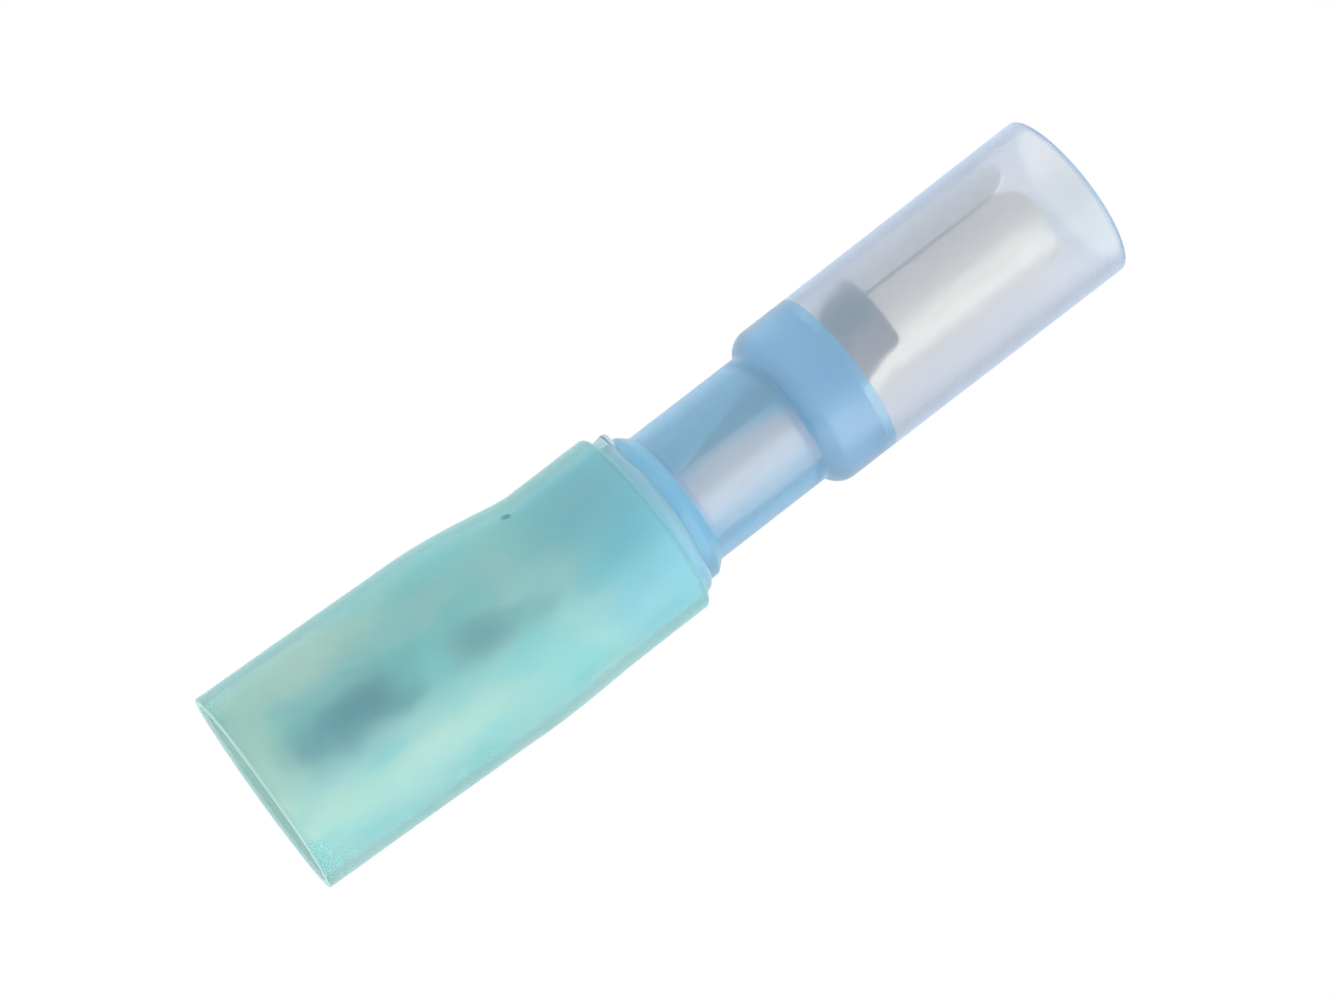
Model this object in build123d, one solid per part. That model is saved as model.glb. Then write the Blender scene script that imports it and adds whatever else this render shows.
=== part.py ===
from build123d import *
import math
import os

# Heat shrink round crimp terminal: a socket contact for a 4 mm round plug, in a moulded insulating housing
# whose rear barrel carries a glue-lined heat shrink tube.
# Millimetres and degrees. The tube stands on its rear end: origin at the centre of that end, +Z along the free
# tube towards the socket's mouth. The housing is built in its own frame, with its rear end at z = 0.
# Angles round the contact are measured from -Y, negative towards -X.

# Heat shrink tube: the jacket
tube_swell = 0.37
tube_wall = 0.36
tube_free_length = 9.4
flare_length = 4.7
jacket_seat_length = 3.81
jacket_seat_wall = 0.4
jacket_lip_round = 0.18

# How the housing sits in the tube
housing_lean = 2.4
housing_offset = 0.16

# Adhesive liner
glue_free_film = 0.23
glue_seat_film = 0.31
bead_length = 0.31
bead_slope = 0.27
glued_gap = 0.01
glue_run_r = 0.42
glue_run_angle = -76

# Housing
barrel_r = 3.27
barrel_wall = 0.62
barrel_length = 4.82
barrel_chamfer = 0.15
funnel_length = 1.0
collar_slope = 0.42
neck_r = 2.91
neck_length = 5.24
shoulder_length = 0.85
sleeve_r = 3.5
sleeve_flare = 0.085
sleeve_wall = 0.5
sleeve_length = 14.41
floor_thickness = 2.5
rim_round = 0.13

# Contact: one rolled strip
sheet = 0.35
crimp_bore_r = 1.7
crimp_length = 6.95
bell_length = 0.35
crimp_fit = 0.04
wire_seam_width = 0.09
wire_seam_length = 1.5
wedge_low_angle = -18
wedge_high_angle = -62
window_length = 4.12
window_half_angle = 60
window_corner = 0.45
socket_bore_r = 1.95
socket_length = 7.43
socket_wall_gap = 0.13
seam_angle = -30
seam_width = 0.14
mouth_corner = 1.05
bend_relief = 0.06

flare_sections = 5
past = 1.0

# Sizes that follow
crimp_r = crimp_bore_r + sheet
socket_r = socket_bore_r + sheet
barrel_bore_r = barrel_r - barrel_wall
neck_bore_r = crimp_r + crimp_fit
neck_start = barrel_length + collar_slope
shoulder_z = neck_start + neck_length
floor_z = shoulder_z + floor_thickness
housing_length = shoulder_z + sleeve_length
funnel_end = barrel_length + crimp_fit
crimp_rear = funnel_end - bell_length
bell_flare = bell_length * (barrel_bore_r - neck_bore_r) / funnel_length
window_rear = crimp_rear + crimp_length
window_front = window_rear + window_length
contact_front = window_front + socket_length
bend_start = floor_z + bend_relief
bend_end = window_front - window_corner - bend_relief
socket_shift = sleeve_r - sleeve_wall - socket_r - socket_wall_gap
glue_seat_r = barrel_r + glued_gap
bead_r = glue_seat_r + glue_seat_film
jacket_seat_bore_r = bead_r + glued_gap
jacket_seat_r = jacket_seat_bore_r + jacket_seat_wall
tube_r = jacket_seat_r + tube_swell
tube_bore_r = tube_r - tube_wall
glue_free_r = tube_bore_r - glued_gap
entry_bore_r = glue_free_r - glue_free_film


def in_tube(share):
    """The place of the tube's centre line, from the free part's end (0) to the housing's rear end (1)."""
    lift = tube_free_length + flare_length * share
    return Pos(housing_offset * share, 0, lift) * Rot(0, -housing_lean * share, 0)


def rod(radius, start, end):
    """A round rod along Z."""
    return Pos(0, 0, start) * Cylinder(radius, end - start, align=(Align.CENTER, Align.CENTER, Align.MIN))


def tube_core(free_radius, seat_radius, rear, front):
    """The filled shape of one skin of the tube: free part, bowed flare and seat on the housing's barrel."""
    rings = []
    for step in range(flare_sections + 1):
        share = step / flare_sections
        radius = free_radius - (free_radius - seat_radius) * share ** 2
        rings.append(in_tube(share) * Circle(radius))
    return rod(free_radius, rear, tube_free_length) + loft(rings) + in_tube(1) * rod(seat_radius, 0, front)


def edges_at(shape, radius, height):
    """Round edges of a shape of revolution, by radius and height in its own frame."""
    rims = shape.edges().filter_by(GeomType.CIRCLE)
    return [e for e in rims if abs(e.radius - radius) < 0.01 and abs(e.arc_center.Z - height) < 0.01]


def make_jacket():
    """The outer tube, with a softened lip where it grips the barrel."""
    lip = in_tube(1) * rod(jacket_seat_r, 0, jacket_seat_length)
    lip = fillet(lip.edges().filter_by(GeomType.CIRCLE).sort_by(Axis.Z)[-1], jacket_lip_round)
    body = tube_core(tube_r, jacket_seat_r, 0, jacket_seat_length - 2 * jacket_lip_round) + lip
    return body - tube_core(tube_bore_r, jacket_seat_bore_r, -past, jacket_seat_length + past)


def make_liner():
    """The hot melt layer: it lines the tube and stands out in front of the jacket as a bead with one run."""
    bead_front = jacket_seat_length + bead_length
    on_end = (Align.CENTER, Align.CENTER, Align.MIN)
    slope = Pos(0, 0, bead_front) * Cone(bead_r, glue_seat_r, bead_slope, align=on_end)
    turn = math.radians(glue_run_angle)
    run_place = Pos(barrel_r * math.sin(turn), -barrel_r * math.cos(turn), bead_front + bead_slope / 2)
    run = run_place * Sphere(glue_run_r)
    body = tube_core(glue_free_r, bead_r, 0, bead_front) + in_tube(1) * (slope + run)
    return body - tube_core(entry_bore_r, glue_seat_r, -past, bead_front + past)


def make_housing():
    """The moulded sleeve, turned about its axis: rear barrel, collar, neck, shoulder and thin front sleeve."""
    front_r = sleeve_r + sleeve_flare
    shoulder_top = shoulder_z + shoulder_length
    along_sleeve = (sleeve_r - front_r, shoulder_top - housing_length)
    shoulder = TangentArc((sleeve_r, shoulder_top), (neck_r, shoulder_z), tangent=along_sleeve)
    outline = Polyline(
        (neck_r, shoulder_z),
        (neck_r, neck_start),
        (barrel_r, barrel_length),
        (barrel_r, barrel_chamfer),
        (barrel_r - barrel_chamfer, 0),
        (barrel_bore_r, 0),
        (barrel_bore_r, funnel_end - funnel_length),
        (neck_bore_r, funnel_end),
        (neck_bore_r, floor_z),
        (sleeve_r - sleeve_wall, floor_z),
        (front_r - sleeve_wall, housing_length),
        (front_r, housing_length),
        (sleeve_r, shoulder_top),
    )
    body = revolve(Plane.XZ * make_face(outline + shoulder), Axis.Z)
    rims = edges_at(body, front_r, housing_length) + edges_at(body, front_r - sleeve_wall, housing_length)
    return fillet(rims, rim_round)


def around(radius, angle, shift=0.0):
    """A point at an angle round the contact, whose centre may be shifted towards -X."""
    turn = math.radians(angle)
    return (radius * math.sin(turn) - shift, -radius * math.cos(turn))


def sector(height, inner, outer, start, end, shift=0.0):
    """A flat piece of a ring between two angles, with straight sides."""
    middle = (start + end) / 2
    corners = [around(inner, start, shift), around(outer, start, shift), around(outer, middle, shift)]
    corners += [around(outer, end, shift), around(inner, end, shift)]
    return Pos(0, 0, height) * make_face(Polyline(*corners, close=True))


def contact_core(crimp_radius, socket_radius, start, end, bell=0.0):
    """The filled shape of one side of the strip: crimp barrel, bend and socket."""
    bell_end = crimp_rear + bell_length
    mouth = Circle(crimp_radius + bell)
    throat = Circle(crimp_radius)
    bell_mouth = loft([Pos(0, 0, crimp_rear) * mouth, Pos(0, 0, bell_end) * throat])
    bend = loft([Pos(0, 0, bend_start) * throat, Pos(-socket_shift, 0, bend_end) * Circle(socket_radius)])
    core = rod(crimp_radius, start, bend_start) + bell_mouth + bend
    return core + Pos(-socket_shift, 0, 0) * rod(socket_radius, bend_end, end)


def window_block(start, end, rear, front):
    """A block between two angles that follows the bend, for cutting the strip."""
    inner = crimp_bore_r / 2
    outer = 2 * socket_r
    rings = [
        sector(rear, inner, outer, start, end),
        sector(bend_start, inner, outer, start, end),
        sector(bend_end, inner, outer, start, end, socket_shift),
        sector(front, inner, outer, start, end, socket_shift),
    ]
    return loft(rings, ruled=True)


def spoke(angle, height, shift):
    """A round bar that runs outwards from the contact's centre."""
    x, y = around(2 * socket_r, angle, shift)
    path = Plane(origin=(-shift, 0, height), z_dir=(x + shift, y, 0))
    return path * Cylinder(window_corner, 2 * socket_r, align=(Align.CENTER, Align.CENTER, Align.MIN))


def make_window():
    """The opening behind the socket, with round corners."""
    start = seam_angle - window_half_angle
    end = seam_angle + window_half_angle
    inset = math.degrees(window_corner / (socket_r - sheet / 2))
    rear = window_rear + window_corner
    front = window_front - window_corner
    window = window_block(start + inset, end - inset, window_rear, window_front)
    window += window_block(start, end, rear, front)
    for angle in (start + inset, end - inset):
        window += spoke(angle, rear, 0)
        window += spoke(angle, front, socket_shift)
    return window


def make_wire_seam():
    """The crimp barrel's butted seam, which opens as a wedge towards the window."""
    slit_half = math.degrees(wire_seam_width / 2 / crimp_r)
    closed_high = wedge_low_angle - 2 * slit_half
    reach = 2 * crimp_r
    opening = crimp_rear + wire_seam_length
    tail = window_rear + window_corner
    slit = loft(
        [
            sector(crimp_rear - past, 0.01, reach, closed_high, wedge_low_angle),
            sector(opening, 0.01, reach, closed_high, wedge_low_angle),
        ],
        ruled=True,
    )
    wedge = loft(
        [
            sector(opening, 0.01, reach, closed_high, wedge_low_angle),
            sector(tail, 0.01, reach, wedge_high_angle, wedge_low_angle),
        ],
        ruled=True,
    )
    return slit + wedge


def make_socket_seam():
    """The socket's slit along its whole length, with the strip's corners rounded at the mouth."""
    half = seam_width / 2
    mouth = Polyline(
        (-half, window_front - past),
        (half, window_front - past),
        (half, contact_front - mouth_corner),
    )
    right = CenterArc((half + mouth_corner, contact_front - mouth_corner), mouth_corner, 180, -90)
    left = CenterArc((-half - mouth_corner, contact_front - mouth_corner), mouth_corner, 90, -90)
    top = Polyline(
        (half + mouth_corner, contact_front),
        (half + mouth_corner, contact_front + past),
        (-half - mouth_corner, contact_front + past),
        (-half - mouth_corner, contact_front),
    )
    side = Line((-half, contact_front - mouth_corner), (-half, window_front - past))
    outline = make_face(mouth + right + top + left + side)
    prism = extrude(Plane.XZ * outline, 2 * socket_r)
    return Pos(-socket_shift, 0, 0) * Rot(0, 0, seam_angle) * prism


def make_contact():
    """The rolled strip: outer skin less inner skin, then the seams, the wedge and the window."""
    outer = contact_core(crimp_r, socket_r, crimp_rear, contact_front, bell_flare)
    inner = contact_core(crimp_bore_r, socket_bore_r, crimp_rear - past, contact_front + past, bell_flare)
    strip = outer - inner
    return strip - make_window() - make_wire_seam() - make_socket_seam()


def save(shape, name):
    """One file for each piece."""
    shape.label = name
    export_step(shape, f"parts/{name}.step")


def main():
    os.makedirs("parts", exist_ok=True)
    save(make_jacket(), "heat_shrink_tube")
    save(make_liner(), "adhesive_liner")
    save(in_tube(1) * make_housing(), "housing")
    save(in_tube(1) * make_contact(), "contact")


main()
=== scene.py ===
"""The looks of a heat shrink round crimp terminal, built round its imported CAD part.

Sizes are in millimetres and degrees, as on the part's drawing, and become metres where a mesh is made.
The tube stands on its rear end at z = 0. The housing and its contact lean a little towards -X.
"""

import logging
import math
from dataclasses import dataclass, field, replace
from enum import Enum
from typing import Callable, Sequence

import bpy
from mathutils import Matrix, Vector, noise


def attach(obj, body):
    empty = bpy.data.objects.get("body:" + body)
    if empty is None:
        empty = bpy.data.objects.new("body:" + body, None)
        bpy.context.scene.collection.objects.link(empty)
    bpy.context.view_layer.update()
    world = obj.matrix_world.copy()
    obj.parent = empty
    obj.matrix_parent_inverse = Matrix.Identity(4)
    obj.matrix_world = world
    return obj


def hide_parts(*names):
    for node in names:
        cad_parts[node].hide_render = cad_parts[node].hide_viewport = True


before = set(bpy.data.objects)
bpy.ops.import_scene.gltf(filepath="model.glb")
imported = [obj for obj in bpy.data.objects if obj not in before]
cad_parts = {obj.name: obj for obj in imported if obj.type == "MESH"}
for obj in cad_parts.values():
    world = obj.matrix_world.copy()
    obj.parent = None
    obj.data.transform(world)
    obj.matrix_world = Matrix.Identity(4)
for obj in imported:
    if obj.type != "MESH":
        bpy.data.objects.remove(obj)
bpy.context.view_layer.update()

LOG = logging.getLogger("terminal")
MM = 0.001
BODY = "root"

Point = tuple[float, float]
Stretch = tuple[float, float, float]
Colour = Stretch
Piece = bpy.types.Object
Socket = bpy.types.NodeSocket
Tone = Colour | Socket

# Points this near are joined, in a turned piece and in the rolled strip
TURNED_WELD = 0.002
ROLLED_WELD = 0.0005
# A corner lies this near to where it is looked for, and a smaller turn is none
NEAR = 0.01
NO_TURN = 1e-6
# The faces of a rounded edge and of a small arc
EDGE_STEPS = 3
ARC_STEPS = 5


# Modelling helpers


@dataclass(frozen=True)
class Ring:
    """One round section of a turned piece.

    Args:
        z: Height of its centre.
        radius: Its radius.
        x: Sideways place of its centre.
        lean: Its turn about Y, positive when its top side leans towards -X.
    """

    z: float
    radius: float
    x: float = 0.0
    lean: float = 0.0

    @property
    def centre(self) -> Vector:
        """The centre in metres."""
        return Vector((self.x, 0.0, self.z)) * MM


def rest_selection() -> None:
    """Leaves edit mode and deselects every object."""
    active = bpy.context.view_layer.objects.active
    if active is not None and active.mode != "OBJECT":
        bpy.ops.object.mode_set(mode="OBJECT")
    bpy.ops.object.select_all(action="DESELECT")


def pick(piece: Piece) -> None:
    """Makes a piece the only selected object.

    Args:
        piece: The piece.
    """
    rest_selection()
    piece.select_set(True)
    bpy.context.view_layer.objects.active = piece


def settle(piece: Piece) -> None:
    """Moves a piece's place, turn and scale into its mesh."""
    pick(piece)
    bpy.ops.object.transform_apply(location=True, rotation=True, scale=True)


def turned(name: str, rings: Sequence[Ring], sides: int) -> Piece:
    """Extrudes a circle from ring to ring and closes the last one onto the first.

    Args:
        name: The piece's name.
        rings: The sections, up the outside and back down the inside.
        sides: The number of faces round the piece.

    Returns:
        The closed, outward-facing piece.
    """
    rest_selection()
    first = rings[0]
    bpy.ops.mesh.primitive_circle_add(
        vertices=sides,
        radius=first.radius * MM,
        location=first.centre,
        rotation=(0.0, -math.radians(first.lean), 0.0),
    )
    piece = bpy.context.object
    piece.name = name
    settle(piece)
    bpy.ops.object.mode_set(mode="EDIT")
    bpy.ops.mesh.select_all(action="SELECT")
    for before, ring in zip(rings, [*rings[1:], first]):
        step = ring.centre - before.centre
        bpy.ops.mesh.extrude_edges_move(TRANSFORM_OT_translate={"value": step})
        ratio = ring.radius / before.radius
        bpy.ops.transform.resize(value=(ratio, ratio, ratio), center_override=ring.centre)
        if abs(ring.lean - before.lean) > NO_TURN:
            bpy.ops.transform.rotate(
                value=math.radians(ring.lean - before.lean),
                orient_axis="Y",
                center_override=ring.centre,
            )
    face_outwards(TURNED_WELD)
    return piece


def round_edges(piece: Piece, width: float, angle: float, steps: int = EDGE_STEPS) -> None:
    """Bevels a piece's sharp edges.

    Args:
        piece: The piece.
        width: How wide the bevel is.
        angle: Edges sharper than this are bevelled.
        steps: How many faces it has.
    """
    pick(piece)
    bevel = piece.modifiers.new("edges", "BEVEL")
    bevel.width = width * MM
    bevel.segments = steps
    bevel.limit_method = "ANGLE"
    bevel.angle_limit = math.radians(angle)
    bevel.miter_outer = "MITER_ARC"
    bevel.use_clamp_overlap = True
    bpy.ops.object.modifier_apply(modifier=bevel.name)


def ripple(piece: Piece, depth: float, spread: float) -> None:
    """Gives a moulded or shrunk skin its slight unevenness.

    Args:
        piece: The piece.
        depth: The most that the skin moves, inwards and outwards together.
        spread: The size of the unevenness.
    """
    pick(piece)
    pattern = bpy.data.textures.new(f"{piece.name}_ripple", "CLOUDS")
    pattern.noise_scale = spread * MM
    pattern.noise_depth = 1
    push = piece.modifiers.new("ripple", "DISPLACE")
    push.texture = pattern
    push.texture_coords = "LOCAL"
    push.strength = depth * MM
    push.mid_level = 0.5
    bpy.ops.object.modifier_apply(modifier=push.name)


def move_points(piece: Piece, rule: Callable[[Vector], Vector]) -> None:
    """Moves each vertex to where a rule sends it.

    Args:
        piece: The piece.
        rule: Takes a place in millimetres and gives the new one.
    """
    for vertex in piece.data.vertices:
        vertex.co = rule(vertex.co / MM) * MM
    piece.data.update()


def smooth(piece: Piece, angle: float = 35.0) -> None:
    """Smooths a piece's shading, apart from edges sharper than an angle."""
    pick(piece)
    bpy.ops.object.shade_smooth_by_angle(angle=math.radians(angle))


def face_outwards(weld: float) -> None:
    """Joins the doubled points of the piece in edit mode, turns its faces outwards and ends the edit.

    Args:
        weld: Points nearer than this are joined.
    """
    bpy.ops.mesh.select_all(action="SELECT")
    bpy.ops.mesh.remove_doubles(threshold=weld * MM)
    bpy.ops.mesh.normals_make_consistent(inside=False)
    bpy.ops.object.mode_set(mode="OBJECT")


def faces_axis(face: bpy.types.MeshPolygon, x: float = 0.0) -> bool:
    """Whether a face looks towards an upright axis, which stands at x on the XZ plane."""
    outwards = Vector((face.center.x - x * MM, face.center.y, 0.0)).normalized()
    return face.normal.dot(outwards) < -0.5


def steps_between(start: Point, end: Point, length: float) -> list[Point]:
    """Points on a straight run of a profile, without its first one, at most a length apart."""
    count = max(1, math.ceil(math.dist(start, end) / length))
    return [
        (start[0] + (end[0] - start[0]) * i / count, start[1] + (end[1] - start[1]) * i / count)
        for i in range(1, count + 1)
    ]


def arc_points(centre: Point, radius: float, start: float, end: float, count: int) -> list[Point]:
    """Points on an arc of a profile, with both ends. Its angles start from growing height."""
    angles = [math.radians(start + (end - start) * i / count) for i in range(count + 1)]
    return [(centre[0] + radius * math.cos(a), centre[1] + radius * math.sin(a)) for a in angles]


def profile(corners: Sequence[Point], length: float) -> list[Point]:
    """Joins a profile's corners by straight runs of short steps.

    Args:
        corners: The corners, as height and radius.
        length: The longest step.

    Returns:
        The points, with both ends.
    """
    points = [corners[0]]
    for corner in corners[1:]:
        points += steps_between(points[-1], corner, length)
    return points


# Finishes


# Nearly all noise lies between these
NOISE_SPAN: Point = (0.3, 0.7)


class Sheet:
    """A node tree, with short ways to add to it."""

    def __init__(self, tree: bpy.types.NodeTree) -> None:
        """Takes the tree."""
        self.tree = tree

    @staticmethod
    def fill(node: bpy.types.Node, **values: float | Sequence[float]) -> None:
        """Sets a node's inputs, named with underscores for spaces."""
        for key, value in values.items():
            node.inputs[key.replace("_", " ")].default_value = value

    def add(self, kind: str, **values: float | Sequence[float]) -> bpy.types.Node:
        """Adds a node.

        Args:
            kind: The node's type.
            values: The values of some inputs, named with underscores for spaces.

        Returns:
            The node.
        """
        node = self.tree.nodes.new(kind)
        self.fill(node, **values)
        return node

    def link(self, source: Socket, target: Socket) -> None:
        """Joins two sockets."""
        self.tree.links.new(source, target)

    def ranged(self, value: Socket, span: Point, result: Point, kind: str = "LINEAR") -> Socket:
        """Maps a value from one range to another.

        Args:
            value: The value.
            span: The range's ends.
            result: What they become.
            kind: How values in between are worked out.

        Returns:
            The new value.
        """
        node = self.add("ShaderNodeMapRange", From_Min=span[0], From_Max=span[1])
        self.fill(node, To_Min=result[0], To_Max=result[1])
        node.interpolation_type = kind
        self.link(value, node.inputs["Value"])
        return node.outputs["Result"]

    def mixed(self, share: Socket, first: bpy.types.Node, second: bpy.types.Node) -> bpy.types.Node:
        """Mixes two shaders.

        Args:
            share: How much of the second shows.
            first: The first shader.
            second: The second shader.

        Returns:
            The mixed shader.
        """
        node = self.add("ShaderNodeMixShader")
        for source, target in zip((share, first.outputs[0], second.outputs[0]), node.inputs):
            self.link(source, target)
        return node


class NodeSheet(Sheet):
    """A material's node tree, with what the finishes share."""

    def __init__(self, name: str) -> None:
        """Starts a material with its surface shader.

        Args:
            name: The material's name.
        """
        self.material = bpy.data.materials.new(name)
        self.material.use_nodes = True
        super().__init__(self.material.node_tree)
        self.surface = next(n for n in self.tree.nodes if n.type == "BSDF_PRINCIPLED")
        self.place = self.add("ShaderNodeTexCoord").outputs["Object"]

    def scaled(self, stretch: Stretch, centre: Stretch = (0.0, 0.0, 0.0)) -> Socket:
        """Scales the object's coordinates.

        Args:
            stretch: The length along X, Y and Z that becomes 1.
            centre: The place that becomes 0.

        Returns:
            The scaled coordinates.
        """
        mapping = self.add("ShaderNodeMapping", Scale=[1.0 / (MM * s) for s in stretch])
        self.fill(mapping, Location=[-c / s for c, s in zip(centre, stretch)])
        self.link(self.place, mapping.inputs["Vector"])
        return mapping.outputs["Vector"]

    def grain(self, stretch: Stretch, detail: float = 2.0) -> Socket:
        """Noise from 0 to 1 whose spots have a size along each axis.

        Args:
            stretch: The spots' size along X, Y and Z.
            detail: How many finer layers it has.

        Returns:
            The noise's value.
        """
        spots = self.add("ShaderNodeTexNoise", Scale=1.0, Detail=detail, Roughness=0.55)
        self.link(self.scaled(stretch), spots.inputs["Vector"])
        return spots.outputs["Fac"]

    def spread(self, value: Socket, low: float, high: float, span: Point = NOISE_SPAN) -> Socket:
        """Maps a value smoothly, to low up to the span's start and to high from its end on."""
        return self.ranged(value, span, (low, high), "SMOOTHSTEP")

    def blend(self, amount: Socket, first: Tone, second: Tone) -> Socket:
        """Mixes two colours, each a plain one or a socket.

        Args:
            amount: How much of the second shows.
            first: The first colour.
            second: The second colour.

        Returns:
            The mixed colour.
        """
        mix = self.add("ShaderNodeMix")
        mix.data_type = "RGBA"
        self.link(amount, mix.inputs["Factor"])
        ends = [socket for socket in mix.inputs if socket.type == "RGBA"]
        for socket, colour in zip(ends, (first, second)):
            if isinstance(colour, tuple):
                socket.default_value = (*colour, 1.0)
            else:
                self.link(colour, socket)
        return next(socket for socket in mix.outputs if socket.type == "RGBA")

    def bump(self, height: Socket, depth: float, strength: float) -> None:
        """Shapes the surface by a height.

        Args:
            height: The height, from 0 to 1.
            depth: How deep its full range is, in millimetres.
            strength: How strongly it shows.
        """
        node = self.add("ShaderNodeBump", Strength=strength, Distance=depth * MM)
        self.link(height, node.inputs["Height"])
        self.link(node.outputs["Normal"], self.surface.inputs["Normal"])


# A pool's edge lies at this share of its reach, and wanders by this multiple of its fade
POOL_EDGE = 0.6
POOL_WANDER = 2.4


@dataclass(frozen=True)
class Pool:
    """A place where a finish has another colour, with an uneven edge: a real colour, or painted light or
    shade.

    Args:
        centre: Its middle.
        reach: How far it reaches along X, Y and Z.
        colour: The colour there.
        strength: How much of that colour shows in its middle.
        fade: How softly it ends, as half the fading edge's share of its reach.
    """

    centre: Stretch
    reach: Stretch
    colour: Colour
    strength: float = 1.0
    fade: float = 0.5

    def stain_and_painted_light(self, sheet: NodeSheet, colour: Tone, wander: Socket) -> Socket:
        """Lays the pool over a colour.

        Args:
            sheet: The material in the making.
            colour: The colour so far.
            wander: Noise that makes the pool's edge uneven.

        Returns:
            The colour with the pool.
        """
        length = sheet.add("ShaderNodeVectorMath")
        length.operation = "LENGTH"
        sheet.link(sheet.scaled(self.reach, self.centre), length.inputs[0])
        edge = sheet.add("ShaderNodeMath")
        edge.operation = "MULTIPLY_ADD"
        sheet.link(wander, edge.inputs[0])
        edge.inputs[1].default_value = POOL_WANDER * self.fade
        sheet.link(length.outputs["Value"], edge.inputs[2])
        middle = POOL_EDGE + POOL_WANDER / 2 * self.fade
        share = sheet.spread(edge.outputs[0], self.strength, 0.0, (middle - self.fade, middle + self.fade))
        return sheet.blend(share, colour, self.colour)


@dataclass(frozen=True)
class ClearPlastic:
    """A see-through plastic that also scatters light.

    Args:
        name: The material's name.
        tint: Its usual colour.
        pale: The colour of its lighter clouds.
        haze: How much light each face scatters instead of letting it through.
        frost: How much it blurs what is behind it.
        gloss: The roughness of its outer skin.
        coat: How much of that skin shines.
        bend: Its index of refraction.
        clouds: The size of its clouds.
        skin: The depth of its unevenness.
        veil: How much light of veil_tint its skin scatters, as evenly as veil_spread.
        pools: Where its colour differs.
        wander: The size of the unevenness of their edges.
    """

    name: str
    tint: Colour
    pale: Colour
    haze: float
    frost: float = 0.3
    gloss: float = 0.3
    coat: float = 0.2
    bend: float = 1.3
    clouds: Stretch = (2.4, 2.4, 3.2)
    skin: float = 0.008
    veil: float = 0.0
    veil_tint: Colour = (0.25, 0.6, 1.0)
    veil_spread: float = 0.8
    pools: tuple[Pool, ...] = ()
    wander: Stretch = (1.3, 1.3, 1.6)
    fine: Stretch = (0.5, 0.5, 0.7)

    def make(self) -> bpy.types.Material:
        """Builds the material.

        Returns:
            The material.
        """
        sheet = NodeSheet(self.name)
        surface = sheet.surface
        sheet.fill(surface, Transmission_Weight=1.0 - self.haze, IOR=self.bend)
        sheet.fill(surface, Coat_Weight=self.coat, Coat_Roughness=self.gloss)
        sheet.fill(surface, Sheen_Weight=self.veil, Sheen_Roughness=self.veil_spread)
        sheet.fill(surface, Sheen_Tint=(*self.veil_tint, 1.0))
        clouds = sheet.spread(sheet.grain(self.clouds), 0.0, 1.0)
        colour = sheet.blend(clouds, self.tint, self.pale)
        wander = sheet.grain(self.wander, 3.0)
        for pool in self.pools:
            colour = pool.stain_and_painted_light(sheet, colour, wander)
        sheet.link(colour, surface.inputs["Base Color"])
        fine = sheet.grain(self.fine, 3.0)
        sheet.link(sheet.spread(fine, self.frost * 0.85, self.frost * 1.15), surface.inputs["Roughness"])
        sheet.bump(fine, self.skin, 0.5)
        return sheet.material

    def inside(self) -> "ClearPlastic":
        """The same plastic on the inner side of a wall, which has no shine and no veil of its own."""
        return replace(self, name=f"{self.name}_inside", coat=0.0, veil=0.0)


@dataclass(frozen=True)
class MeltedGlue:
    """The hot melt film, paler where it is thin, with painted shade in its dark spots.

    Sizes with the same name as the clear plastic's mean the same.

    Args:
        film: The thin film's colour.
        pools: Where its colour differs: paler where it is thin, and painted shade in dark spots.
        shine: The roughness of its smoothest and roughest spots.
    """

    name: str
    film: Colour
    haze: float
    pools: tuple[Pool, ...] = ()
    wander: Stretch = (1.3, 1.3, 1.6)
    clouds: Stretch = (1.6, 1.6, 2.6)
    fine: Stretch = (0.35, 0.35, 0.5)
    shine: Point = (0.12, 0.28)
    bend: float = 1.3
    skin: float = 0.02

    def make(self) -> bpy.types.Material:
        """Builds the material.

        Returns:
            The material.
        """
        sheet = NodeSheet(self.name)
        surface = sheet.surface
        sheet.fill(surface, Transmission_Weight=1.0 - self.haze, IOR=self.bend)
        colour: Tone = self.film
        wander = sheet.grain(self.wander, 4.0)
        for pool in self.pools:
            colour = pool.stain_and_painted_light(sheet, colour, wander)
        clouds = sheet.spread(sheet.grain(self.clouds), 0.0, 0.3)
        paler = tuple(min(1.0, c * 1.25 + 0.05) for c in self.film)
        sheet.link(sheet.blend(clouds, colour, paler), surface.inputs["Base Color"])
        fine = sheet.grain(self.fine, 3.0)
        sheet.link(sheet.spread(fine, *self.shine), surface.inputs["Roughness"])
        sheet.bump(fine, self.skin, 0.6)
        return sheet.material


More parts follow.
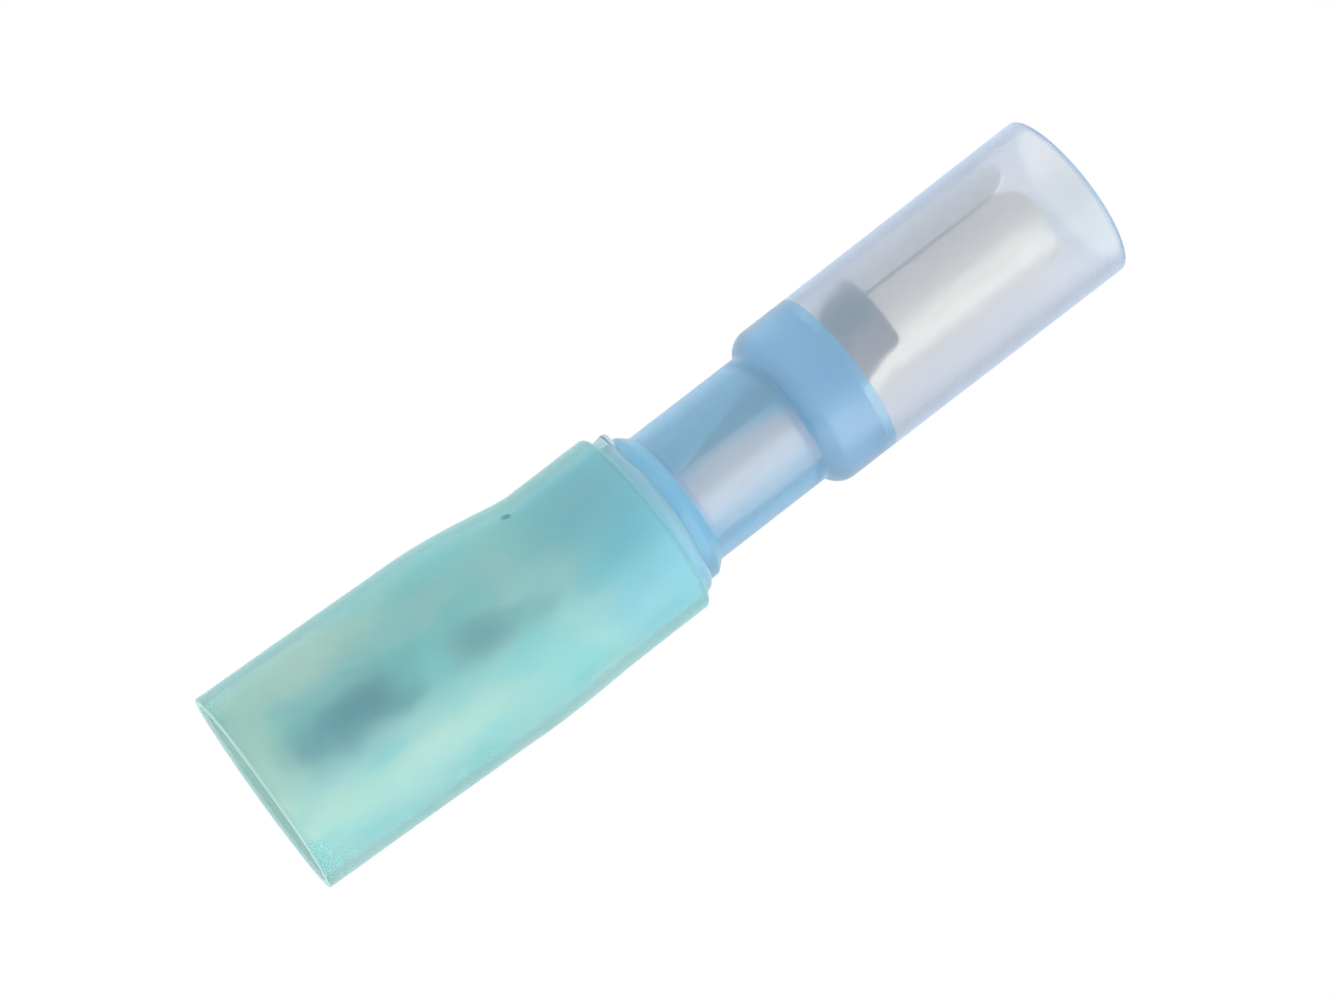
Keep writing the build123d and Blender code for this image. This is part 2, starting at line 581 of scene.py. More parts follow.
@dataclass(frozen=True)
class TinPlate:
    """Tinned strip: satin metal with rolling marks and duller patches.

    Args:
        bright: The plating's usual colour.
        dull: The colour of its patches.
        satin: Its roughness.
        patches: The size of those patches.
        marks: The size of its rolling marks, and skin their depth.
    """

    name: str
    bright: Colour
    dull: Colour
    satin: float
    pools: tuple[Pool, ...] = ()
    wander: Stretch = (0.8, 0.8, 1.2)
    patches: Stretch = (1.1, 1.1, 1.8)
    marks: Stretch = (0.05, 0.05, 1.6)
    skin: float = 0.006

    def make(self) -> bpy.types.Material:
        """Builds the material.

        Returns:
            The material.
        """
        sheet = NodeSheet(self.name)
        surface = sheet.surface
        sheet.fill(surface, Metallic=1.0)
        patches = sheet.spread(sheet.grain(self.patches, 4.0), 0.0, 1.0)
        colour = sheet.blend(patches, self.bright, self.dull)
        wander = sheet.grain(self.wander, 3.0)
        for pool in self.pools:
            colour = pool.stain_and_painted_light(sheet, colour, wander)
        sheet.link(colour, surface.inputs["Base Color"])
        marks = sheet.grain(self.marks, 3.0)
        sheet.link(sheet.spread(marks, self.satin * 0.85, self.satin * 1.3), surface.inputs["Roughness"])
        sheet.bump(marks, self.skin, 0.5)
        return sheet.material


def dress(piece: Piece, *finishes: ClearPlastic | MeltedGlue | TinPlate) -> None:
    """Gives a piece its materials, in order."""
    for finish in finishes:
        piece.data.materials.append(finish.make())


PALE_END: Colour = (0.97, 1.0, 0.90)
JACKET = ClearPlastic(
    "jacket_teal",
    (0.53, 0.85, 0.88),
    (0.72, 0.895, 0.895),
    0.2,
    frost=0.24,
    gloss=0.4,
    coat=0.35,
    bend=1.2,
    clouds=(1.8, 1.8, 3.2),
    veil=0.45,
    veil_tint=(0.35, 0.9, 0.87),
    pools=(
        # Painted light: the tube's -X side is painted lighter and bluer.
        Pool((-4.2, -1.5, 9.0), (3.0, 4.5, 16.0), (0.53, 0.93, 0.97), 0.8),
        Pool((-3.3, -2.6, 3.6), (1.5, 2.2, 5.5), PALE_END, 0.75),
        Pool((-0.6, -4.3, 0.0), (4.6, 2.6, 2.6), PALE_END, 0.7),
        Pool((2.3, -3.5, 5.0), (0.9, 1.6, 8.5), PALE_END, 0.5),
        # Painted shade: the dark streak along the tube's middle, in darker teal on the jacket.
        Pool((-0.3, -4.3, 4.2), (1.7, 1.7, 3.8), (0.34, 0.74, 0.80), 0.65),
        Pool((-0.1, -4.3, 9.9), (1.3, 1.4, 2.1), (0.38, 0.78, 0.80), 0.5),
        Pool((-1.6, 0.0, 18.4), (12.0, 30.0, 7.4), (0.48, 0.82, 0.88), 0.45, fade=0.3),
        Pool((-3.22, -2.3, 13.31), (0.26, 0.3, 0.28), (0.04, 0.24, 0.26), fade=0.3),
    ),
)
JACKET_CUT = replace(
    JACKET, name="jacket_cut", tint=(0.55, 0.84, 0.82), pale=(0.62, 0.88, 0.85), haze=0.7, pools=()
)
# Painted shade: the near-black of the dark streak along the tube's middle.
PAINTED_STREAK_SHADE: Colour = (0.0, 0.20, 0.33)
MELT_THIN: Colour = (0.34, 0.82, 1.0)
GLUE = MeltedGlue(
    "glue_film",
    (0.66, 0.95, 0.88),
    0.75,
    (
        # Painted shade: the dark streak along the tube's middle, in three spots.
        Pool((-0.3, -3.9, 4.2), (1.65, 1.6, 3.8), PAINTED_STREAK_SHADE),
        Pool((-0.1, -3.9, 9.9), (1.2, 1.3, 1.9), PAINTED_STREAK_SHADE, 0.85),
        Pool((0.3, -3.9, 11.8), (0.8, 1.2, 2.0), PAINTED_STREAK_SHADE, 0.35),
        Pool((-1.6, 0.0, 18.4), (12.0, 30.0, 7.4), MELT_THIN, fade=0.3),
    ),
)
GLUE_BEAD = MeltedGlue("glue_bead", (0.56, 0.88, 0.96), 0.35)
GLUE_RUN = MeltedGlue(
    "glue_run",
    (0.55, 0.80, 0.92),
    0.6,
    # Painted shade: the dark line of the crack across the run.
    (Pool((-3.4, -1.0, 18.26), (1.2, 1.6, 0.06), (0.03, 0.10, 0.16), 0.9, fade=0.3),),
)
SLEEVE_WALL = ClearPlastic(
    "sleeve_wall",
    (0.855, 0.85, 0.86),
    (0.885, 0.88, 0.89),
    0.21,
    frost=0.26,
    veil=0.9,
    veil_tint=(0.52, 0.69, 0.94),
    pools=(
        Pool((0.3, -3.2, 38.3), (3.4, 2.8, 2.6), (0.71, 0.75, 0.77), fade=0.4),
        # Painted shade: a darker bluish patch over the window, where the inside lies in shadow.
        Pool((-2.0, -3.0, 28.2), (1.7, 2.0, 2.0), (0.63, 0.755, 0.81), fade=0.4),
    ),
)
SLEEVE_RIM = ClearPlastic("sleeve_rim", (0.55, 0.74, 0.95), (0.60, 0.77, 0.96), 0.4)
SLEEVE_SOLID = ClearPlastic(
    "sleeve_solid",
    (0.27, 0.54, 0.79),
    (0.31, 0.57, 0.81),
    0.6,
    # Painted highlight: a lighter band on the lamp side of the thick wall.
    pools=(Pool((1.5, -3.0, 25.5), (0.9, 3.0, 9.0), (0.44, 0.67, 0.87), 0.55, fade=0.35),),
)
SLEEVE_NECK = ClearPlastic(
    "sleeve_neck",
    (0.39, 0.68, 0.86),
    (0.43, 0.71, 0.88),
    0.36,
    frost=0.18,
    veil=0.4,
    # Painted reflection: a pale patch where the crimp barrel's bright reflection shows through the neck.
    pools=(Pool((0.58, -2.8, 22.0), (2.25, 2.5, 9.0), (0.75, 0.77, 0.84), 0.85, fade=0.2),),
)
SLEEVE_COLLAR = ClearPlastic("sleeve_collar", (0.25, 0.59, 0.82), (0.28, 0.62, 0.84), 0.6)
SLEEVE_BARREL = ClearPlastic("sleeve_barrel", (0.20, 0.66, 1.0), (0.22, 0.68, 1.0), 0.8)
TIN = TinPlate("tinned_strip", (1.0, 0.96, 0.83), (0.96, 0.92, 0.80), 0.38)
# Painted shade: the contact's inner faces are a darker copy of the tin.
TIN_PAINTED_SHADE = TinPlate(
    "tin_painted_shade",
    (0.42, 0.49, 0.56),
    (0.35, 0.41, 0.48),
    0.45,
    # Painted light: a lighter patch on the far inner wall that the window shows.
    (Pool((0.35, 1.9, 27.6), (1.3, 2.5, 6.0), (0.80, 0.82, 0.84), 0.9, fade=0.2),),
)


# The terminal's pieces


class WallZone(Enum):
    """The stretches of the housing's wall, which let different amounts of light through."""

    NECK = 0
    SOLID = 1
    THIN = 2
    RIM = 3
    BARREL = 4
    THIN_INSIDE = 5
    NECK_INSIDE = 6
    COLLAR = 7


# In the order of the zones
WALL_FINISHES = (
    SLEEVE_NECK,
    SLEEVE_SOLID,
    SLEEVE_WALL,
    SLEEVE_RIM,
    SLEEVE_BARREL,
    SLEEVE_WALL.inside(),
    SLEEVE_NECK.inside(),
    SLEEVE_COLLAR,
)


@dataclass
class Housing:
    """The moulded sleeve, turned about its axis.

    Names ending in _r are radii. The other lengths are stretches, or heights above its rear end.

    Args:
        place: How far its rear end is from the tube's end, along X and Z.
        lean: Its lean towards -X.
        sleeve_flare: How much the sleeve widens towards its front end.
        rim_share: The rim's colour starts this many roundings behind the front end.
        thin_gap: How far past its floor the sleeve's thin wall starts.
    """

    place: Point = (0.16, 14.1)
    lean: float = 2.4
    barrel_r: float = 3.27
    barrel_bore_r: float = 2.65
    barrel_length: float = 4.82
    barrel_chamfer: float = 0.15
    funnel_rear: float = 3.86
    funnel_end: float = 4.86
    neck_r: float = 2.91
    neck_bore_r: float = 2.09
    neck_start: float = 5.24
    shoulder_z: float = 10.48
    shoulder_length: float = 0.85
    sleeve_r: float = 3.5
    sleeve_flare: float = 0.085
    sleeve_wall: float = 0.5
    floor_z: float = 12.98
    length: float = 24.88
    rim_round: float = 0.13
    rim_share: float = 1.6
    thin_gap: float = 0.1
    solid_gap: float = 0.02
    edge: float = 0.07
    edge_angle: float = 24.0
    ripple: float = 0.02
    ripple_size: float = 5.0
    shoulder_steps: int = 12
    sides: int = 160
    step: float = 0.7

    def to_frame(self, piece: Piece) -> None:
        """Turns and moves a piece from the housing's own frame into the part's frame."""
        place = Matrix.Translation(Vector((self.place[0], 0.0, self.place[1])) * MM)
        piece.data.transform(place @ Matrix.Rotation(-math.radians(self.lean), 4, "Y"))

    def outline(self) -> list[Point]:
        """The wall's section.

        Returns:
            Its points, up the outside and back down the inside.
        """
        front_r = self.sleeve_r + self.sleeve_flare
        rise = self.sleeve_r - self.neck_r
        arc_r = (rise**2 + self.shoulder_length**2) / (2 * rise)
        opening = math.degrees(math.asin(self.shoulder_length / arc_r))
        shoulder_top = self.shoulder_z + self.shoulder_length
        points = profile(
            [
                (0.0, self.barrel_bore_r),
                (0.0, self.barrel_r - self.barrel_chamfer),
                (self.barrel_chamfer, self.barrel_r),
                (self.barrel_length, self.barrel_r),
                (self.neck_start, self.neck_r),
                (self.shoulder_z, self.neck_r),
            ],
            self.step,
        )
        arc_centre = (shoulder_top, self.sleeve_r - arc_r)
        points += arc_points(arc_centre, arc_r, 90 + opening, 90, self.shoulder_steps)[1:]
        rim_z = self.length - self.rim_round
        points += steps_between(points[-1], (rim_z, front_r), self.step)
        points += arc_points((rim_z, front_r - self.rim_round), self.rim_round, 90, 0, ARC_STEPS)[1:]
        inner_r = front_r - self.sleeve_wall
        points += arc_points((rim_z, inner_r + self.rim_round), self.rim_round, 0, -90, ARC_STEPS)
        bore = [
            (self.floor_z, self.sleeve_r - self.sleeve_wall),
            (self.floor_z, self.neck_bore_r),
            (self.funnel_end, self.neck_bore_r),
            (self.funnel_rear, self.barrel_bore_r),
            (0.0, self.barrel_bore_r),
        ]
        return points + profile([points[-1], *bore], self.step)[1:-1]

    def zone_of(self, z: float) -> WallZone:
        """The zone of the wall that a height belongs to."""
        starts = (
            (self.length - self.rim_round * self.rim_share, WallZone.RIM),
            (self.floor_z + self.thin_gap, WallZone.THIN),
            (self.shoulder_z - self.solid_gap, WallZone.SOLID),
            (self.neck_start, WallZone.NECK),
            (self.funnel_rear, WallZone.COLLAR),
        )
        return next((zone for start, zone in starts if z > start), WallZone.BARREL)

    def build(self) -> Piece:
        """Models and dresses the sleeve.

        Returns:
            The sleeve.
        """
        rings = [Ring(z, r) for z, r in self.outline()]
        piece = turned("housing_sleeve", rings, self.sides)
        round_edges(piece, self.edge, self.edge_angle)
        ripple(piece, self.ripple, self.ripple_size)
        dress(piece, *WALL_FINISHES)
        for face in piece.data.polygons:
            zone = self.zone_of(face.center.z / MM)
            if faces_axis(face) and zone in (WallZone.THIN, WallZone.NECK):
                zone = WallZone.THIN_INSIDE if zone is WallZone.THIN else WallZone.NECK_INSIDE
            face.material_index = zone.value
        self.to_frame(piece)
        smooth(piece)
        return piece


@dataclass
class ShrinkTube:
    """The glue-lined tube: jacket, hot melt film and the bead that the film ends in.

    Args:
        flare_early: How fast the flare starts, and flare_late how much slower it ends.
        cut_lean: The cut end's lean, which fades out over cut_reach.
        cut_facing: Faces that look down more than this are the cut end.
        film: The hot melt's thickness in the free tube, where it ends film_back from the cut.
        bead_slope: The length of the bead's nose, which ends bead_gap thick.
        bead_back: How far behind the jacket's end the bead's finish starts.
        uneven: How far the bead's front edge wanders.
        run_angle: Where the bead has its run, whose finish reaches run_width each way.
        lump: The run's width, its rise and how far it stands out.
    """

    housing: Housing
    free_r: float = 4.345
    wall: float = 0.36
    free_length: float = 9.4
    flare_length: float = 4.7
    seat_length: float = 3.81
    seat_r: float = 3.985
    seat_bore_r: float = 3.6
    lip_round: float = 0.18
    flare_early: float = 1.6
    flare_late: float = 0.6
    cut_lean: float = 0.44
    cut_reach: float = 1.0
    cut_rise: float = 0.045
    cut_facing: float = -0.7
    edge: float = 0.05
    edge_angle: float = 40.0
    ripple: float = 0.03
    ripple_size: float = 3.5
    film_r: float = 3.965
    film: float = 0.22
    film_back: float = 0.16
    bead_r: float = 3.575
    bead_length: float = 0.31
    bead_slope: float = 0.27
    bead_inner_r: float = 3.285
    bead_curve: float = 1.6
    bead_gap: float = 0.03
    bead_back: float = 0.1
    bead_skin_r: float = 3.35
    bead_crease: float = 50.0
    uneven: float = 0.1
    uneven_size: float = 1.1
    run_angle: float = -76.0
    run_width: float = 0.24
    lump: Stretch = (0.2, 0.18, 0.27)
    sides: int = 160
    step: float = 0.5

    def section(self, z: float, free_r: float, seat_r: float) -> Ring:
        """A section of one of the tube's skins.

        Args:
            z: Its height, which past the flare runs along the housing's axis.
            free_r: The skin's radius on the free part.
            seat_r: Its radius on the housing.

        Returns:
            The section.
        """
        share = min(1.0, max(0.0, (z - self.free_length) / self.flare_length))
        radius = free_r - (free_r - seat_r) * share**2 * (self.flare_early - self.flare_late * share)
        lean = self.housing.lean * share
        beyond = max(0.0, z - self.free_length - self.flare_length)
        x = self.housing.place[0] * share - beyond * math.sin(math.radians(lean))
        height = z - beyond * (1 - math.cos(math.radians(lean)))
        if z < self.cut_reach:
            lean = self.cut_lean * (1.0 - z / self.cut_reach)
        return Ring(height, radius, x, lean)

    def skin(self, free_r: float, seat_r: float, start: float, end: float) -> list[Ring]:
        """The sections of one skin from one height to another."""
        count = math.ceil(abs(end - start) / self.step)
        return [self.section(start + (end - start) * i / count, free_r, seat_r) for i in range(count + 1)]

    @property
    def jacket_end(self) -> float:
        """The jacket's front end."""
        return self.free_length + self.flare_length + self.seat_length

    def build_jacket(self) -> Piece:
        """Models and dresses the outer tube.

        Returns:
            The jacket.
        """
        front = self.jacket_end
        bore_r = self.free_r - self.wall
        outer = self.skin(self.free_r, self.seat_r, self.cut_rise, front - self.lip_round)
        lip = [
            self.section(front - self.lip_round + z, 0.0, self.seat_r - self.lip_round + r)
            for z, r in arc_points((0.0, 0.0), self.lip_round, 90, 0, ARC_STEPS)[1:]
        ]
        inner = self.skin(bore_r, self.seat_bore_r, front, self.cut_rise)
        piece = turned("heat_shrink_jacket", outer + lip + inner, self.sides)
        round_edges(piece, self.edge, self.edge_angle)
        ripple(piece, self.ripple, self.ripple_size)
        dress(piece, JACKET, JACKET.inside(), JACKET_CUT)
        for face in piece.data.polygons:
            face.material_index = 2 if face.normal.z < self.cut_facing else int(faces_axis(face))
        smooth(piece)
        return piece

    def build_glue(self) -> Piece:
        """Models and dresses the hot melt film with its squeezed-out bead.

        Returns:
            The film.
        """
        front = self.jacket_end + self.bead_length
        outer = self.skin(self.film_r, self.bead_r, self.film_back, front)
        nose = []
        for i in range(1, ARC_STEPS + 1):
            share = i / ARC_STEPS
            drop = (self.bead_r - self.bead_inner_r - self.bead_gap) * share**self.bead_curve
            nose.append(self.section(front + self.bead_slope * share, 0.0, self.bead_r - drop))
        inner_r = self.film_r - self.film
        inner = self.skin(inner_r, self.bead_inner_r, front + self.bead_slope, self.film_back)
        piece = turned("hot_melt_film", outer + nose + inner, self.sides)
        move_points(piece, self.squeezed)
        dress(piece, GLUE, GLUE_BEAD, GLUE_RUN)
        run = self.run_side()
        for face in piece.data.polygons:
            out = Vector((face.center.x, face.center.y, 0.0)).normalized()
            on_bead = face.center.z / MM > self.jacket_end - self.bead_back
            on_run = on_bead and (out - run).length < self.run_width
            face.material_index = int(on_bead) + int(on_run)
        smooth(piece, self.bead_crease)
        return piece

    def run_side(self) -> Vector:
        """The direction from the axis in which the bead has its run."""
        turn = math.radians(self.run_angle)
        return Vector((math.sin(turn), -math.cos(turn), 0.0))

    def squeezed(self, place: Vector) -> Vector:
        """Where squeezing takes a point of the film, whose bead has an uneven edge and one run.

        Args:
            place: The point.

        Returns:
            The new point.
        """
        share = min(1.0, max(0.0, (place.z - self.jacket_end) / self.bead_length))
        if share == 0.0:
            return place
        width, rise, stand = self.lump
        out = Vector((place.x, place.y, 0.0)).normalized()
        near = math.exp(-(((out - self.run_side()).length / width) ** 2))
        uneven = noise.noise(place * self.uneven_size) * self.uneven
        place_up = Vector((0.0, 0.0, uneven + rise * near)) * share
        on_skin = math.hypot(place.x, place.y) > self.bead_skin_r
        return place + place_up + out * (stand * near * share if on_skin else 0.0)


@dataclass
class Contact:
    """The rolled strip: modelled as a flat stamped blank and rolled up, as the real one is made.

    Heights are above the housing's rear end. Sides are angles of roll.

    Args:
        bell_flare: How far the rear end opens, over bell_length.
        shift: How far the socket's axis lies beside the crimp barrel's.
        seam_angle: The middle of the socket's seam and of the window.
        wire_edge: One side of the crimp seam, which is wire_gap wide and opens to wedge_edge.
        burr_round: The rounding of cut edges sharper than burr_angle.
        past: How far cutters reach past the blank's ends, and past_angle past its sides.
        overlap: How far neighbouring cuts overlap, and slip how far the wedge does.
        cells: The width of the cells that it is rolled in, up to grid_past beyond the seam.
    """

    housing: Housing
    sheet: float = 0.35
    crimp_bore_r: float = 1.7
    socket_bore_r: float = 1.95
    rear: float = 4.51
    bell_length: float = 0.35
    bell_flare: float = 0.196
    window_rear: float = 11.46
    window_front: float = 15.58
    front: float = 23.01
    bend_start: float = 13.04
    bend_end: float = 15.07
    shift: float = 0.57
    seam_angle: float = -30.0
    seam_half: float = 1.75
    window_half: float = 60.0
    window_corner: float = 0.45
    wire_edge: float = -18.0
    wire_gap: float = 2.5
    wedge_start: float = 6.01
    wedge_edge: float = -62.0
    mouth_corner: float = 1.05
    corner_steps: int = 10
    burr_round: float = 0.045
    burr_angle: float = 50.0
    burr_steps: int = 2
    cutter_sheets: float = 3.0
    past: float = 1.0
    past_angle: float = 20.0
    overlap: float = 0.5
    slip: float = 0.02
    cells: float = 0.12
    grid_past: float = 15.0
    crease: float = 30.0
    low: float = field(init=False)
    high: float = field(init=False)
    seam: float = field(init=False)

    def __post_init__(self) -> None:
        """Works out the blank's long sides."""
        self.low = self.seam_angle + self.seam_half
        self.high = self.seam_angle - self.seam_half + 360
        self.seam = self.wire_edge - self.wire_gap + 360

    @property
    def per_degree(self) -> float:
        """The blank's width for a degree of roll."""
        return math.radians(self.socket_bore_r + self.sheet / 2)

    def block(self, start: float, end: float, rear: float, front: float) -> Piece:
        """A box over part of the blank.

        Args:
            start: Its first angle of roll.
            end: Its last angle.
            rear: Its rear height.
            front: Its front height.

        Returns:
            The box.
        """
        rest_selection()
        width = (end - start) * self.per_degree
        whole = (rear, front) == (self.rear, self.front)
        depth = self.sheet if whole else self.cutter_sheets * self.sheet
        bpy.ops.mesh.primitive_cube_add(
            size=1.0,
            location=Vector(((start + end) / 2 * self.per_degree, 0.0, (rear + front) / 2)) * MM,
            scale=Vector((width, depth, front - rear)) * MM,
        )
        box = bpy.context.object
        settle(box)
        return box

    def round_corners(self, piece: Piece, angle: float, heights: Sequence[float], radius: float) -> None:
        """Rounds the corners of a blank or a cutter.

        Args:
            piece: The blank or the cutter.
            angle: The corners' angle of roll.
            heights: Their heights.
            radius: The radius.
        """
        pick(piece)
        bpy.ops.object.mode_set(mode="EDIT")
        bpy.ops.mesh.select_all(action="DESELECT")
        bpy.ops.mesh.select_mode(type="EDGE")
        bpy.ops.object.mode_set(mode="OBJECT")
        mesh = piece.data
        for edge in mesh.edges:
            ends = [mesh.vertices[v].co / MM for v in edge.vertices]
            across = abs(ends[0].y - ends[1].y) > self.sheet / 2
            at_angle = all(abs(e.x - angle * self.per_degree) < NEAR for e in ends)
            at_height = any(all(abs(e.z - h) < NEAR for e in ends) for h in heights)
            edge.select = across and at_angle and at_height
        bpy.ops.object.mode_set(mode="EDIT")
        bpy.ops.mesh.bevel(offset=radius * MM, segments=self.corner_steps, profile=0.5, affect="EDGES")
        bpy.ops.object.mode_set(mode="OBJECT")

    def cut(self, blank: Piece, cutter: Piece) -> None:
        """Takes a cutter out of the blank and throws it away.

        Args:
            blank: The blank.
            cutter: The cutter.
        """
        pick(blank)
        taken = blank.modifiers.new("cut", "BOOLEAN")
        taken.operation = "DIFFERENCE"
        taken.solver = "EXACT"
        taken.object = cutter
        bpy.ops.object.modifier_apply(modifier=taken.name)
        bpy.data.objects.remove(cutter)

    def wedge(self) -> Piece:
        """The cutter for the crimp seam's wedge.

        Returns:
            The cutter.
        """
        wide, far = self.wedge_edge + 360, self.seam + 2 * self.past_angle
        cutter = self.block(wide, far, self.wedge_start, self.window_rear + self.slip)
        slope = (self.seam - wide) / (self.window_rear - self.wedge_start)
        middle = (self.seam + self.past_angle) * self.per_degree

        def lean(place: Vector) -> Vector:
            """Leans the block's low side along the wedge."""
            x = (self.seam - slope * (place.z - self.wedge_start)) * self.per_degree
            return place if place.x > middle else Vector((x, place.y, place.z))

        move_points(cutter, lean)
        return cutter

    def stamp(self) -> Piece:
        """Stamps the flat blank, with its edges slightly rounded.

        Returns:
            The blank.
        """
        blank = self.block(self.low, self.seam, self.rear, self.front)
        low, high = self.low - self.past_angle, self.seam + self.past_angle
        rear, front = self.window_rear, self.window_front
        self.cut(blank, self.block(low, self.wire_edge, self.rear - self.past, rear + self.overlap))
        window_low = self.seam_angle + self.window_half
        window_high = self.seam_angle - self.window_half + 360
        for start, end, corner in ((low, window_low, window_low), (window_high, high, window_high)):
            cutter = self.block(start, end, rear, front)
            self.round_corners(cutter, corner, (rear, front), self.window_corner)
            self.cut(blank, cutter)
        self.cut(blank, self.block(self.high, high, front - self.overlap, self.front + self.past))
        self.cut(blank, self.wedge())
        for side in (self.low, self.high):
            self.round_corners(blank, side, (self.front,), self.mouth_corner)
        round_edges(blank, self.burr_round, self.burr_angle, self.burr_steps)
        return blank

    def grid(self, blank: Piece) -> None:
        """Cuts the blank into small cells, so that it can be rolled.

        Args:
            blank: The blank.
        """
        pick(blank)
        bpy.ops.object.mode_set(mode="EDIT")
        left, right = self.low * self.per_degree, (self.high + self.grid_past) * self.per_degree
        across = math.ceil((right - left) / self.cells)
        along = math.ceil((self.front - self.rear) / (2 * self.cells))
        ways = (((1.0, 0.0, 0.0), left, right, across), ((0.0, 0.0, 1.0), self.rear, self.front, along))
        for way, start, end, count in ways:
            for i in range(1, count):
                reach = (start + (end - start) * i / count) * MM
                bpy.ops.mesh.select_all(action="SELECT")
                bpy.ops.mesh.bisect(plane_co=[reach * w for w in way], plane_no=way)
        bpy.ops.object.mode_set(mode="OBJECT")

    def rolled(self, place: Vector) -> Vector:
        """Where rolling takes a point of the blank.

        Args:
            place: The point on the flat blank.

        Returns:
            The point on the rolled strip, in the housing's frame.
        """
        turn = math.radians(place.x / self.per_degree)
        share = min(1.0, max(0.0, (place.z - self.bend_start) / (self.bend_end - self.bend_start)))
        share = share * share * (3 - 2 * share)
        bell = max(0.0, 1 - (place.z - self.rear) / self.bell_length)
        widening = (self.socket_bore_r - self.crimp_bore_r) * share
        bore = self.crimp_bore_r + widening + self.bell_flare * bell**2
        radius = bore + self.sheet / 2 - place.y
        return Vector((radius * math.sin(turn) - self.shift * share, -radius * math.cos(turn), place.z))

    def build(self) -> Piece:
        """Models and dresses the contact.

        Returns:
            The contact.
        """
        piece = self.stamp()
        piece.name = "rolled_contact"
        self.grid(piece)
        move_points(piece, self.rolled)
        pick(piece)
        bpy.ops.object.mode_set(mode="EDIT")
        face_outwards(ROLLED_WELD)
        # The inner faces take the tin with painted shade.
        dress(piece, TIN, TIN_PAINTED_SHADE)
        for face in piece.data.polygons:
            past_bend = face.center.z > self.bend_end * MM
            face.material_index = int(faces_axis(face, -self.shift if past_bend else 0.0))
        self.housing.to_frame(piece)
        smooth(piece, self.crease)
        return piece


# The studio


@dataclass(frozen=True)
class CameraView:
    """The photograph's camera, with its turns about X, Y and Z and its lens for 36 mm wide film."""

    place: Stretch = (-0.809, -161.917, -8.321)
    turn: Stretch = (106.305, -53.5539, -13.449)
    lens: float = 115.92

    def build(self) -> None:
        """Adds the camera to the scene."""
        data = bpy.data.cameras.new("camera")
        data.lens = self.lens
        data.sensor_width = 36.0
        data.sensor_fit = "HORIZONTAL"
        data.clip_start = 0.005
        data.clip_end = 50.0
        camera = bpy.data.objects.new("camera", data)
        camera.location = Vector(self.place) * MM
        camera.rotation_euler = [math.radians(a) for a in self.turn]
        bpy.context.scene.collection.objects.link(camera)
        bpy.context.scene.camera = camera


@dataclass(frozen=True)
class SoftLight:
    """A rectangular soft lamp that faces the terminal's middle.

    Args:
        angle: Where it stands round the terminal, from the camera's side towards +X.
        width: Its width, and tall its height from edge to edge.
        glow: How bright its face is, where 1 is white.
        lights: Whether it lights the plastic, or is only mirrored.
        aim: The height of what it faces.
    """

    name: str
    angle: float
    height: float
    distance: float
    width: float
    tall: float
    glow: float
    lights: bool = True
    aim: float = 20.0

    def build(self) -> None:
        """Adds the lamp to the scene."""
        data = bpy.data.lights.new(self.name, "AREA")
        data.shape = "RECTANGLE"
        data.size = self.width * MM
        data.size_y = self.tall * MM
        data.energy = self.glow * math.pi * data.size * data.size_y
        lamp = bpy.data.objects.new(self.name, data)
        lamp.visible_diffuse = self.lights
        lamp.visible_glossy = not self.lights
        lamp.visible_transmission = not self.lights
        turn = math.radians(self.angle)
        x, y = math.sin(turn) * self.distance, -math.cos(turn) * self.distance
        lamp.location = Vector((x, y, self.height)) * MM
        way = Vector((0.0, 0.0, self.aim)) * MM - lamp.location
        lamp.rotation_euler = way.to_track_quat("-Z", "Y").to_euler()
        bpy.context.scene.collection.objects.link(lamp)


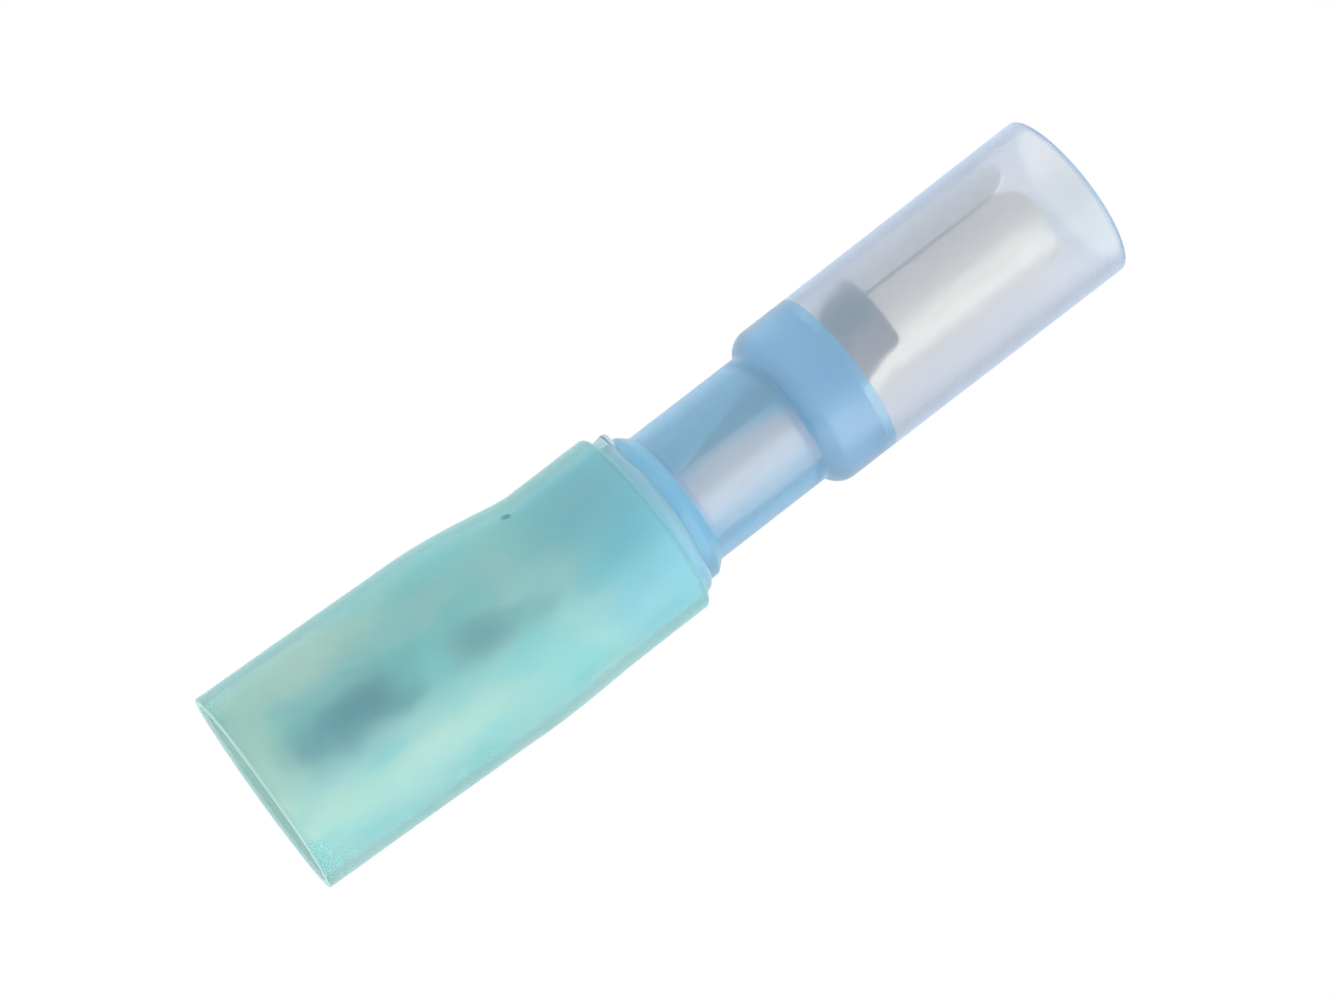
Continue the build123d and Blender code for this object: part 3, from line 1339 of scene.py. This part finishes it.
@dataclass(frozen=True)
class Studio:
    """The white room: floor, surrounding light and lamps.

    Args:
        around: How bright the surroundings light the terminal, from the -X side and from the +X side.
        mirrored: How bright they look on those sides, in gloss and through clear walls.
        behind: Where the white behind the terminal starts and is full, as the Y of a direction.
    """

    floor_size: float = 3000.0
    around: Point = (1.2, 1.1)
    mirrored: Point = (0.68, 1.35)
    behind: Point = (-0.2, 0.5)
    lamps: tuple[SoftLight, ...] = (
        SoftLight("overhead", -20.0, 330.0, 330.0, 260.0, 260.0, 2.0),
        SoftLight("side_screen", 60.0, 90.0, 250.0, 360.0, 260.0, 2.3, lights=False),
    )

    def build_floor(self) -> None:
        """Adds the pale floor, seen from above only."""
        rest_selection()
        bpy.ops.mesh.primitive_plane_add(size=self.floor_size * MM)
        floor = bpy.context.object
        floor.name = "floor"
        sheet = NodeSheet("floor_white")
        sheet.fill(sheet.surface, Base_Color=(0.9, 0.9, 0.9, 1.0), Roughness=0.9)
        from_below = sheet.add("ShaderNodeNewGeometry").outputs["Backfacing"]
        seen = sheet.mixed(from_below, sheet.surface, sheet.add("ShaderNodeBsdfTransparent"))
        output = next(n for n in sheet.tree.nodes if n.type == "OUTPUT_MATERIAL")
        sheet.link(seen.outputs[0], output.inputs["Surface"])
        floor.data.materials.append(sheet.material)
        floor.visible_diffuse = False
        floor.visible_glossy = False
        floor.visible_transmission = False

    def build_surroundings(self) -> None:
        """Adds the surrounding light: white to the camera, softer on the terminal."""
        world = bpy.data.worlds.new("white_room")
        bpy.context.scene.world = world
        world.use_nodes = True
        world.node_tree.nodes.clear()
        sky = Sheet(world.node_tree)
        path = sky.add("ShaderNodeLightPath")
        split = sky.add("ShaderNodeSeparateXYZ")
        sky.link(sky.add("ShaderNodeTexCoord").outputs["Generated"], split.inputs[0])
        white = (1.0, 1.0, 1.0, 1.0)
        seen, lit, front = [sky.add("ShaderNodeBackground", Color=white, Strength=1.0) for _ in range(3)]
        for backdrop, sides in ((lit, self.around), (front, self.mirrored)):
            strength = sky.ranged(split.outputs["X"], (-1.0, 1.0), sides)
            sky.link(strength, backdrop.inputs["Strength"])
        behind = sky.ranged(split.outputs["Y"], self.behind, (0.0, 1.0))
        room = sky.mixed(behind, front, seen)
        around = sky.mixed(path.outputs["Is Transmission Ray"], lit, room)
        around = sky.mixed(path.outputs["Is Glossy Ray"], around, room)
        final = sky.mixed(path.outputs["Is Camera Ray"], around, seen)
        sky.link(final.outputs[0], sky.add("ShaderNodeOutputWorld").inputs["Surface"])

    def build(self) -> None:
        """Adds the room and sets how light is followed."""
        self.build_floor()
        self.build_surroundings()
        for lamp in self.lamps:
            lamp.build()
        scene = bpy.context.scene
        scene.view_settings.view_transform = "Standard"
        scene.cycles.denoising_input_passes = "RGB"
        scene.cycles.sample_clamp_indirect = 1.0
        scene.cycles.max_bounces = 32
        scene.cycles.diffuse_bounces = 6
        scene.cycles.glossy_bounces = 16
        scene.cycles.transmission_bounces = 32
        scene.cycles.transparent_max_bounces = 48


def mount(piece: Piece, node: str) -> None:
    """Puts a finished piece on the part in a CAD node's stead and reports it.

    Args:
        piece: The piece.
        node: The CAD node that it stands for.
    """
    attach(piece, BODY)
    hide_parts(node)
    LOG.info("%s: %d faces", piece.name, len(piece.data.polygons))


def main() -> None:
    """Builds the room, the camera and the terminal's pieces in order."""
    logging.basicConfig(level=logging.INFO, format="%(message)s")
    CameraView().build()
    Studio().build()
    housing = Housing()
    tube = ShrinkTube(housing)
    mount(housing.build(), "housing")
    mount(Contact(housing).build(), "contact")
    mount(tube.build_jacket(), "heat_shrink_tube")
    mount(tube.build_glue(), "adhesive_liner")


if __name__ == "__main__":
    main()
